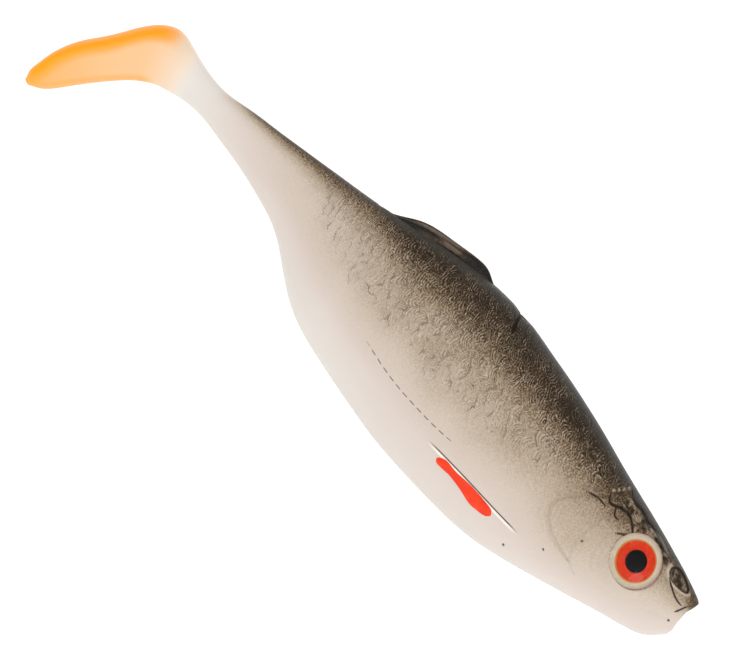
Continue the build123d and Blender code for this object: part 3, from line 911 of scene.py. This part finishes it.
def cut_length(first, last):
    """Points, normals, marks and faces of the rings from first to last, closed at both ends."""
    grid, normals = capped_skin[first:last + 1], capped_normals[first:last + 1]
    start_centre = nose_centre if first == 0 else grid[0].mean(axis=0)
    end_centre = toe_centre if last == len(capped_skin) - 1 else grid[-1].mean(axis=0)
    places = np.concatenate([grid.reshape(-1, 3), [start_centre, end_centre]])
    outwards = np.concatenate([normals.reshape(-1, 3), [(1, 0, 0), (-1, 0, 0)]])
    marks = {}
    for mark, values in capped_marks.items():
        part = values[first:last + 1]
        marks[mark] = np.append(part.reshape(-1), [part[0].mean(), part[-1].mean()])
    corners = len(grid) * columns
    faces = tube_faces(len(grid), columns)
    faces += fan_faces(0, columns, corners, False)
    faces += fan_faces(corners - columns, columns, corners + 1, True)
    return places, outwards, marks, [tuple(face)[::-1] for face in faces]


for name, start, end, bodies, zone, stands_for, skin_slot in skin_lengths:
    first = 0 if start == 0 else len(nose_rings) + int(np.argmin(np.abs(ring_s - start)))
    last = len(nose_rings) + int(np.argmin(np.abs(ring_s - end))) if end else len(capped_skin) - 1
    places, outwards, marks, faces = cut_length(first, last)
    piece = make_piece(name, places, faces, skin_finish, outwards, marks)
    if zone is None:
        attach(piece, bodies[0])
    else:
        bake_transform(piece)
    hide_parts(stands_for)
    print(name, "faces", len(faces))

# %% [markdown]
# ## Dorsal fin
# The fin is a low soft blade, glossy and nearly black, that stands in the trough of the ridge.
# It is one closed loop of points carried along the ridge: up one side, over a round edge and
# down the other. Its height along the back is a smooth line through a few places.

# %% Fin blade
fin_stations, fin_columns = 150, 44
fin_bead, fin_height, fin_root, fin_tip = 0.9, 2.8, 1.2, 0.7
bead_clearance = 0.1
fin_front_share, fin_rear_share = 45.6, 60.3    # per cent of the length
axis_ends = []
for share in (fin_front_share, fin_rear_share):
    z = read_line(back_line, share) / 100 * body_depth - fin_bead - bead_clearance
    axis_ends.append(np.array([-share / 100 * body_length, 0, z]))
fin_front, fin_rear = axis_ends
fin_length = np.linalg.norm(fin_front - fin_rear)
fin_along = (fin_front - fin_rear) / fin_length
fin_up = np.array([-fin_along[2], 0, fin_along[0]])
fin_crest = fin_bead + bead_clearance + fin_height
fin_edge = [(0.0, 0.3), (0.16, 1.3), (0.33, 3.0), (0.48, 3.6), (0.675, 3.5), (0.87, 3.3),
            (0.95, 2.95), (1.0, 2.4), (1.06, 1.2), (1.11, 0.2)]
edge_knots = [share for share, _ in fin_edge]
share_along = np.linspace(0, edge_knots[-1], fin_stations)
edge_height = batten(edge_knots, [[height] for _, height in fin_edge], share_along)[:, 0]
loop = np.linspace(0, 2 * math.pi, fin_columns, endpoint=False)
loop_rise = (1 - np.cos(loop)) / 2
loop_side = np.sign(np.sin(loop)) * np.abs(np.sin(loop)) ** 0.45

# %% [markdown]
# The blade lies over like a wet leaf: shallow folds run along it, front to back, and its edge is
# thin. The folds are stretched noise, so no two are alike.

# %% Fin folds and piece
fold_depth, fold_length, fold_rise_size = 0.36, 6.0, 0.11
low_height = -0.35
share_grid, rise_grid = np.meshgrid(share_along, loop_rise, indexing="ij")
sides = np.broadcast_to(np.sign(loop_side) * 3.0, share_grid.shape)
streak_places = np.stack([share_grid * fin_length / fold_length, rise_grid / fold_rise_size, sides], -1)
streaks = lattice_noise(streak_places, 1.0, 51)
heights = low_height + (edge_height[:, None] - low_height) * rise_grid
thick = fin_root + (fin_tip - fin_root) * np.clip(heights / fin_crest, 0, 1)
end_pinch = np.sqrt(np.clip(1 - np.abs(2 * share_grid / edge_knots[-1] - 1) ** 8, 0.02, 1))
thick = thick * end_pinch + fold_depth * (streaks - 0.5) * (rise_grid > 0.2)
fin_grid = (
    fin_rear + share_grid[:, :, None] * fin_length * fin_along
    + heights[:, :, None] * fin_up
    + (thick / 2 * loop_side)[:, :, None] * np.array([0, 1, 0])
)
fin_points = np.concatenate([fin_grid.reshape(-1, 3), [fin_grid[0].mean(0), fin_grid[-1].mean(0)]])
corners = fin_stations * fin_columns
fin_faces = tube_faces(fin_stations, fin_columns)
fin_faces += fan_faces(0, fin_columns, corners, False)
fin_faces += fan_faces(corners - fin_columns, fin_columns, corners + 1, True)

# %% [markdown]
# The fin is the same plastisol, poured with black pigment and left with the gloss of a polished
# mould: IOR 1.52. Its colour is lighter brown-grey on the raised folds and darker between them,
# as painted highlight and shade, with a random smear; small broken highlights come from the gloss.

# %% Material: dark moulded plastisol
fin_finish, add, rest = new_material("dark_glossy_plastisol")
smear = add("ShaderNodeTexNoise", {"Vector": rest, "Scale": 1 / 0.8, "Detail": 3.0})
# streak is the folds' height: lighter on raised folds as painted highlight, darker between them as
# painted shade
fold_highlight_in = add("ShaderNodeAttribute", out="Fac", attribute_name="streak")
smeared = add("ShaderNodeMath", [smear, 0.25], operation="MULTIPLY")
fin_tone = add("ShaderNodeMath", [fold_highlight_in, 0.75, smeared], operation="MULTIPLY_ADD")
fin_colour = add("ShaderNodeValToRGB", [fin_tone], [
    (0.28, "#0f0c09"), (0.45, "#221a14"), (0.60, "#3c3026"), (0.76, "#655645"),
])
shine(add, {
    "Base Color": fin_colour, "IOR": 1.52, "Specular IOR Level": 0.22,
    "Roughness": add("ShaderNodeMapRange", {"Value": smear, "To Min": 0.16, "To Max": 0.36}),
    "Normal": add("ShaderNodeBump", {"Height": smear, "Distance": 0.12 * mm}),
})
fin_marks = {"streak": np.append(streaks.reshape(-1), [0.5, 0.5])}
fin_piece = make_piece("dorsal_fin_blade", fin_points, fin_faces, fin_finish, marks=fin_marks)
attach(fin_piece, "fin")
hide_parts("dorsal_fin")
print("fin faces", len(fin_faces))

# %% [markdown]
# ## Pectoral fins
# The red fins are thin pads of coloured plastic that lie on the flank. Each is grown on the skin
# itself: rings shrink from the outline to a middle point, every point is looked up on the skin,
# and the pad is domed and rolls over at its edge.

# %% Find a place on the skin
pectoral_outline = [
    (34.1, -34.1), (33.8, -32.1), (31.8, -31.1), (29.6, -30.4), (27.3, -30.1),
    (25.6, -30.4), (24.7, -31.3), (24.4, -33.7), (24.8, -35.9), (25.7, -37.0),
    (26.9, -37.8), (28.8, -36.6), (31.1, -35.4), (32.8, -35.6), (33.8, -35.7),
]
outline_places = np.array([(s / 100 * body_length, z / 100 * body_depth) for s, z in pectoral_outline])
outline_closed = np.concatenate([outline_places[-3:], outline_places, outline_places[:4]])
knots = np.concatenate([[0], np.cumsum(np.linalg.norm(np.diff(outline_closed, axis=0), axis=1))])
pad_columns, pad_rings = 120, 16
walk = np.linspace(knots[3], knots[3 + len(outline_places)], pad_columns, endpoint=False)
pad_edge = batten(knots, outline_closed, walk)
pad_middle = pad_edge.mean(axis=0)


def skin_place(s, z, side):
    """Point and normal on the skin at a place and height, on one flank."""
    ring = int(np.argmin(np.abs(ring_s - s)))
    half_ring = slice(1, columns // 2) if side < 0 else slice(columns // 2, columns)
    order = np.argsort(skin[ring, half_ring, 2])
    heights = skin[ring, half_ring, 2][order]
    point = [np.interp(z, heights, skin[ring, half_ring, axis][order]) for axis in range(3)]
    normal = [np.interp(z, heights, skin_normals[ring, half_ring, axis][order]) for axis in range(3)]
    point[0] = -s
    return np.array(point), np.array(normal)


# %% [markdown]
# The red is plastisol loaded with pigment and dipped on, so it is satin like the skin, IOR 1.52.
# The eye sees a clean red, a little cloudy, and slightly darker towards the edge.

# %% Material: red plastisol
red_finish, add, rest = new_material("red_dipped_plastisol")
cloud = add("ShaderNodeTexNoise", {"Vector": rest, "Scale": 1 / 2.2, "Detail": 3.0})
fine = add("ShaderNodeTexNoise", {"Vector": rest, "Scale": 1 / 0.35, "Detail": 2.0})
red = add("ShaderNodeValToRGB", [cloud], [(0.30, "#dc331a"), (0.55, "#e63d1d"), (0.75, "#ee4d28")])
edge_in = add("ShaderNodeAttribute", out="Fac", attribute_name="edge")
darker_edge = add("ShaderNodeMapRange", {
    "Value": edge_in, "From Min": 0.86, "From Max": 1.0, "To Max": 0.35,
})
red = add("ShaderNodeMix", {0: darker_edge, 6: red, 7: colour("#c23a1c")}, out=2, data_type="RGBA")
shine(add, {
    "Base Color": red, "IOR": 1.52, "Specular IOR Level": 0.15,
    "Roughness": add("ShaderNodeMapRange", {"Value": fine, "To Min": 0.26, "To Max": 0.42}),
    "Normal": add("ShaderNodeBump", {"Height": fine, "Distance": 0.05 * mm}),
})

# %% Grow both pectoral fins
pad_thickness, pad_sink, pad_underside = 0.26, 0.06, 0.25
pad_shares = [math.sin(math.pi / 2 * (1 - k / pad_rings)) for k in range(pad_rings)]
pad_marks = {"edge": np.append(np.repeat(pad_shares, pad_columns), [0.0, 0.0])}
for word, side in (("right", -1), ("left", 1)):
    ring_places = []
    for share in pad_shares:
        rise = pad_thickness * (1 - share ** 5) - pad_sink
        for s, z in pad_middle + (pad_edge - pad_middle) * share:
            point, normal = skin_place(s, z, side)
            ring_places.append(point + normal * rise)
    point, normal = skin_place(*pad_middle, side)
    ring_places += [point + normal * (pad_thickness - pad_sink), point - normal * pad_underside]
    corners = pad_rings * pad_columns
    faces = tube_faces(pad_rings, pad_columns)
    faces += fan_faces(corners - pad_columns, pad_columns, corners, True)
    faces += fan_faces(0, pad_columns, corners + 1, False)
    if side < 0:
        faces = [tuple(face)[::-1] for face in faces]
    piece = make_piece(
        f"pectoral_pad_{word}", np.array(ring_places), faces, red_finish, marks=pad_marks
    )
    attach(piece, "trunk_front")
    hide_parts(f"pectoral_fin_{word}")
    print("pectoral pad", word, "faces", len(faces))

# %% [markdown]
# ## Eyes
# A 3-D lure eye is a disc of printed foil under a domed drop of clear resin, on a foam pad. All
# of its pieces are round, so each is a profile turned about the eye's own axis.

# %% Turn a profile
def turned(name, profile, word, finish, turns=144):
    """A closed round piece from (radius, height) places, standing on one eye's rim plane."""
    _, centre, out = eyes[word]
    facing = out.to_track_quat("Z", "Y").to_matrix()
    places = [np.array(centre + facing @ Vector((0, 0, profile[0][1])))]
    for radius, rise in profile[1:-1]:
        for k in range(turns):
            angle = 2 * math.pi * k / turns
            spot = Vector((radius * math.cos(angle), radius * math.sin(angle), rise))
            places.append(np.array(centre + facing @ spot))
    places.append(np.array(centre + facing @ Vector((0, 0, profile[-1][1]))))
    rings = len(profile) - 2
    faces = [[i + 1 for i in face] for face in tube_faces(rings, turns)]
    faces += [(0, 1 + (k + 1) % turns, 1 + k) for k in range(turns)]
    last = 1 + (rings - 1) * turns
    faces += [(len(places) - 1, last + k, last + (k + 1) % turns) for k in range(turns)]
    radii = [profile[0][0], *np.repeat([r for r, _ in profile[1:-1]], turns), profile[-1][0]]
    piece = make_piece(name, np.array(places), faces, finish, marks={"radius": np.array(radii, float)})
    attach(piece, "trunk_front")
    return piece


def round_edge(radius, low, high, bevel, steps=4):
    """Profile of a disc with rounded upper and lower edges, from the middle below to above."""
    made = [(0, low), (radius - bevel, low)]
    for k in range(1, steps + 1):
        a = math.pi / 2 * k / steps
        made.append((radius - bevel + bevel * math.sin(a), low + bevel - bevel * math.cos(a)))
    for k in range(1, steps + 1):
        a = math.pi / 2 * k / steps
        made.append((radius - bevel + bevel * math.cos(a), high - bevel + bevel * math.sin(a)))
    made.append((0, high))
    return made


# %% [markdown]
# The clear drop is epoxy resin, IOR about 1.5, and cured smooth as water. Its reflection of the
# white studio would lie over the iris like a veil, so the specular tint holds it back and lets
# the foil's red through.

# %% Material: clear cast resin
resin_finish, add, rest = new_material("clear_cast_resin")
ripple = add("ShaderNodeTexNoise", {"Vector": rest, "Scale": 1 / 3.0, "Detail": 1.0})
shine(add, {
    "Base Color": colour("#fffdf8"), "IOR": 1.5, "Transmission Weight": 1.0,
    "Specular Tint": (0.3, 0.3, 0.3, 1),
    "Roughness": add("ShaderNodeMapRange", {"Value": ripple, "To Min": 0.01, "To Max": 0.04}),
    "Normal": add("ShaderNodeBump", {"Height": ripple, "Distance": 0.05 * mm}),
})

# %% [markdown]
# Hot-stamped foil is metal under coloured lacquer. Under the resin it reads as a flat saturated
# red with a faint flake, and the bare metal shows as a thin gold line at its edge. The resin
# over it makes the reflections, so the lacquer has none of its own.

# %% Material: hot-stamped foil
gold_from, gold_to = 4.18, 4.34     # where lacquer ends and bare metal starts, mm
foil_finish, add, rest = new_material("hot_stamped_red_foil")
flake = add("ShaderNodeTexNoise", {"Vector": rest, "Scale": 1 / 0.5, "Detail": 4.0})
brushed = add("ShaderNodeTexNoise", {"Vector": rest, "Scale": 1 / 0.12, "Detail": 2.0})
red_foil = add("ShaderNodeValToRGB", [flake], [
    (0.30, "#f4371c"), (0.52, "#fb4422"), (0.72, "#ff5a30"),
])
radius_in = add("ShaderNodeAttribute", out="Fac", attribute_name="radius")
gold = add("ShaderNodeMapRange", {"Value": radius_in, "From Min": gold_from, "From Max": gold_to})
foil = add("ShaderNodeMix", {0: gold, 6: red_foil, 7: colour("#e8b04e")}, out=2, data_type="RGBA")
shine(add, {
    "Base Color": foil, "Specular IOR Level": 0.0,
    "Roughness": add("ShaderNodeMapRange", {"Value": brushed, "To Min": 0.30, "To Max": 0.45}),
})

# %% [markdown]
# The pupil is a thick black ink, pressed through a fine mesh that leaves a faint weave. Under the
# resin the eye sees it as deep black, never quite even.

# %% Material: screen-printed ink
ink_finish, add, rest = new_material("screen_printed_black_ink")
weave = add("ShaderNodeTexNoise", {"Vector": rest, "Scale": 1 / 0.2, "Detail": 2.0})
shine(add, {
    "Base Color": add("ShaderNodeValToRGB", [weave], [(0.35, "#0a0a0c"), (0.7, "#16151a")]),
    "Roughness": add("ShaderNodeMapRange", {"Value": weave, "To Min": 0.25, "To Max": 0.4}),
    "Specular IOR Level": 0.0,
})

# %% [markdown]
# The pad is a cream acrylic foam with cells of a third of a millimetre. It shows as the matt
# pale ring between the iris and the lens's rim.

# %% Material: cream foam adhesive
foam_finish, add, rest = new_material("cream_foam_adhesive")
foam_cells = add("ShaderNodeTexVoronoi", {"Vector": rest, "Scale": 1 / 0.35})
shine(add, {
    "Base Color": add("ShaderNodeValToRGB", [foam_cells], [(0.1, "#f6e8d0"), (0.6, "#fdf3e0")]),
    "Roughness": 0.7,
    "Normal": add("ShaderNodeBump", {"Height": foam_cells, "Distance": 0.06 * mm}),
})

# %% [markdown]
# The four pieces of an eye stack on the rim plane: pad, foil, pupil and the resin over them. A
# hair of clearance keeps the faces apart, or they would flicker.

# %% Build the eyes
iris_radius, pupil_radius = 4.5, 2.35
pad_low, pad_high = -1.12, -0.86
foil_low, foil_high = -0.80, -0.62
pupil_high = -0.55
dome_height, dome_shoulder = 1.5, 0.10
ball_radius = (eye_radius**2 + dome_height**2) / (2 * dome_height)
lens_low = -0.90
lens_profile = [(0, lens_low), (eye_radius - 0.25, lens_low), (eye_radius - 0.04, -0.75),
                (eye_radius, -0.4)]
dome_steps = 26
for k in range(dome_steps):
    radius = eye_radius * (1 - (k / dome_steps) ** 1.3)
    rise = math.sqrt(ball_radius**2 - radius**2) - ball_radius + dome_height
    soften = dome_shoulder * (1 - math.exp(-((eye_radius - radius) / 0.25)))
    lens_profile.append((radius if k else eye_radius - 0.03, rise + soften - dome_shoulder))
lens_profile.append((0, dome_height))

for word in eyes:
    stack = {
        "adhesive": (round_edge(eye_radius - 0.05, pad_low, pad_high, 0.10), foam_finish),
        "foil": ([(0, foil_low), (iris_radius, foil_low), (iris_radius, foil_high - 0.03),
                  (iris_radius - 0.05, foil_high), (gold_to, foil_high), (gold_from, foil_high),
                  (3.0, foil_high), (0, foil_high)], foil_finish),
        "pupil": (round_edge(pupil_radius, foil_high + 0.01, pupil_high, 0.02), ink_finish),
        "lens": (lens_profile, resin_finish),
    }
    for part, (profile, finish) in stack.items():
        piece = turned(f"eye_{part}_piece_{word}", profile, word, finish)
        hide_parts(f"eye_{part}_{word}")
print("eye pieces", 4 * len(eyes))

# %% [markdown]
# ## Studio
# The bait hangs by its nose over a wide white dish that rises at its rim, so the background is
# the same soft white from every side. A pale sky gives most of the light, and three soft panels
# shape the relief and put a highlight in the eyes.

# %% White dish
# radius and rise in metres, from the middle of the dish
dish_profile = [(0.0, 0.0), (0.4, 0.0), (0.9, 0.0), (1.4, 0.0), (1.8, 0.04), (2.1, 0.16),
                (2.35, 0.42), (2.5, 0.85), (2.55, 1.5)]
dish_depth = -0.22
dish_turns = 96
dish_points = [(0, 0, dish_depth)]
for radius, rise in dish_profile[1:]:
    for k in range(dish_turns):
        angle = 2 * math.pi * k / dish_turns
        dish_points.append((radius * math.cos(angle), radius * math.sin(angle), dish_depth + rise))
dish_faces = [(0, 1 + k, 1 + (k + 1) % dish_turns) for k in range(dish_turns)]
dish_faces += [[i + 1 for i in face][::-1] for face in tube_faces(len(dish_profile) - 1, dish_turns)]
dish = np.array(dish_points) / mm

# %% [markdown]
# White card is matt paper with next to no gloss. It glows a little by itself, so that it stays
# white behind the bait.

# %% Material: matt white card
dish_finish, add, rest = new_material("matt_white_card")
fibres = add("ShaderNodeTexNoise", {"Vector": rest, "Scale": 0.02})
shine(add, {
    "Base Color": add("ShaderNodeValToRGB", [fibres], [(0.3, "#fbfbfb"), (0.7, "#fdfdfd")]),
    "Roughness": 0.9, "Specular IOR Level": 0.1,
    "Emission Color": (1, 1, 1, 1), "Emission Strength": 0.20,
})
make_piece("studio_dish", dish, dish_faces, dish_finish)
print("dish faces", len(dish_faces))

# %% Sky and panels
sky = bpy.data.worlds.new("studio_sky")
sky.use_nodes = True
background = sky.node_tree.nodes["Background"]
background.inputs["Color"].default_value = (1, 1, 1, 1)
background.inputs["Strength"].default_value = 0.77
bpy.context.scene.world = sky
bpy.context.scene.view_settings.view_transform = "Standard"

bait_middle = Vector((-body_length / 2 * mm, 0, -0.003))
panels = [
    # name, from the bait's middle in metres, size, power in watts
    ("panel_over_back", (-0.15, -0.55, 0.95), 0.7, 2.3),
    ("panel_at_nose", (0.75, -0.55, 0.05), 0.35, 1.4),
    ("panel_behind", (-0.2, 0.9, 0.6), 0.8, 1.3),
]
for name, offset, size, power in panels:
    data = bpy.data.lights.new(name, "AREA")
    data.size, data.energy = size, power
    lamp = bpy.data.objects.new(name, data)
    lamp.location = bait_middle + Vector(offset)
    lamp.rotation_euler = (-Vector(offset)).to_track_quat("-Z", "Y").to_euler()
    bpy.context.scene.collection.objects.link(lamp)
print("panels", len(panels))

# %% [markdown]
# ## Camera
# The bait was laid diagonally, so the camera is rolled rather than the bait turned. It looks at
# the right flank from a little above, with a long lens that keeps the proportions.

# %% Camera
camera_rise, camera_roll = math.radians(6.0), math.radians(47.8)
camera_distance, view_middle = 0.867, Vector((-0.09008, 0.0, -0.0089))
backwards = Vector((0, -math.cos(camera_rise), math.sin(camera_rise)))
level_right = Vector((1, 0, 0))
level_up = backwards.cross(level_right)
right = math.cos(camera_roll) * level_right + math.sin(camera_roll) * level_up
up = math.cos(camera_roll) * level_up - math.sin(camera_roll) * level_right
camera_data = bpy.data.cameras.new("camera")
camera_data.lens, camera_data.sensor_width = 200, 36
camera = bpy.data.objects.new("camera", camera_data)
camera.matrix_world = Matrix((
    (right.x, up.x, backwards.x, 0), (right.y, up.y, backwards.y, 0),
    (right.z, up.z, backwards.z, 0), (0, 0, 0, 1),
))
camera.location = view_middle + backwards * camera_distance
bpy.context.scene.collection.objects.link(camera)
bpy.context.scene.camera = camera
print("camera", [round(v, 3) for v in camera.location])
